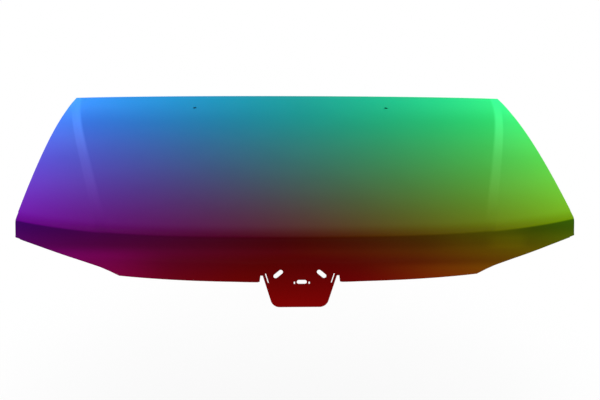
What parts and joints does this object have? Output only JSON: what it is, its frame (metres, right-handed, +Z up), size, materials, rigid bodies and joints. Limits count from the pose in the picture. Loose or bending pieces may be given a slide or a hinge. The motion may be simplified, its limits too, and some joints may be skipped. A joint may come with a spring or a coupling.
{
  "type": "car bonnet",
  "caption": "Pressed steel car bonnet with a hemmed, ribbed inner frame, a front latch tongue and flat hinge seats, in a colour-fade paint.",
  "frame": {"origin": "middle of the latch seat, the flat on the back of the latch reinforcement behind the tongue", "axes": "the car's own axes: +X to the right as seen from in front, -Y forward, +Z up"},
  "size_m": [1.5166, 1.0281, 0.331],
  "materials": {
    "paint_fade": "gloss paint, fading from blue and green at the rear to dark red at the nose",
    "primer": "matt dark primer",
    "zinc_plate": "dull zinc plate",
    "mastic": "matt, slightly domed"
  },
  "bodies": {
    "root": {"outer_skin": "paint_fade", "inner_frame": "primer", "latch_reinforcement": "primer", "stay_socket_plate": "primer", "hinge_reinforcement_left": "primer", "hinge_nut_left_front": "zinc_plate", "hinge_nut_left_rear": "zinc_plate", "hinge_reinforcement_right": "primer", "hinge_nut_right_front": "zinc_plate", "hinge_nut_right_rear": "zinc_plate", "mastic_pad_centre_rear_1": "mastic", "mastic_pad_centre_rear_2": "mastic", "mastic_pad_centre_rear_3": "mastic", "mastic_pad_centre_rear_4": "mastic", "mastic_pad_centre_front_1": "mastic", "mastic_pad_centre_front_2": "mastic", "mastic_pad_centre_front_3": "mastic", "mastic_pad_right_front_1": "mastic", "mastic_pad_right_front_2": "mastic", "mastic_pad_right_front_3": "mastic", "mastic_pad_left_front_1": "mastic", "mastic_pad_left_front_2": "mastic", "mastic_pad_left_front_3": "mastic", "mastic_pad_right_rear_1": "mastic", "mastic_pad_right_rear_2": "mastic", "mastic_pad_left_rear_1": "mastic", "mastic_pad_left_rear_2": "mastic"}
  },
  "joints": []
}
